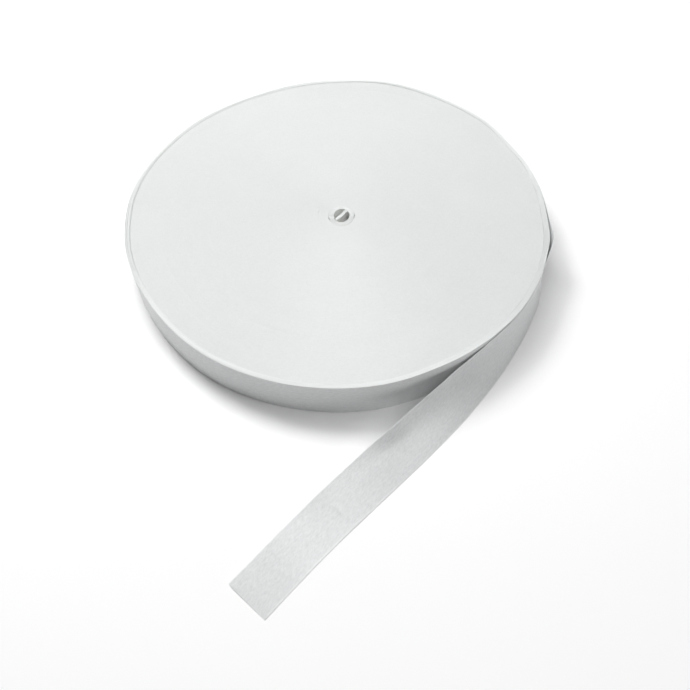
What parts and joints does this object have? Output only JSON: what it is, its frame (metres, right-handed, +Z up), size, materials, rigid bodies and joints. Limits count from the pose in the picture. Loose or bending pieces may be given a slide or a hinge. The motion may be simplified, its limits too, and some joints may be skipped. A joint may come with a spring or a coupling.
{
  "type": "roll of satin ribbon",
  "caption": "Flat coreless roll of plain white satin ribbon lying on its side, its loose end coming off the rim and twisting over to lie flat at a square cut.",
  "frame": {"origin": "on the winding axis, at the face that the roll rests on", "axes": "+Z up along the winding axis, +Y away from the viewer of the picture, +X to its right"},
  "size_m": [0.2645, 0.3709, 0.025],
  "materials": {
    "wound_satin": "white polyester satin, wound edge on",
    "loose_satin": "white polyester satin, single layer"
  },
  "bodies": {
    "root": {"wound_roll": "wound_satin", "loose_end": "loose_satin"}
  },
  "joints": []
}
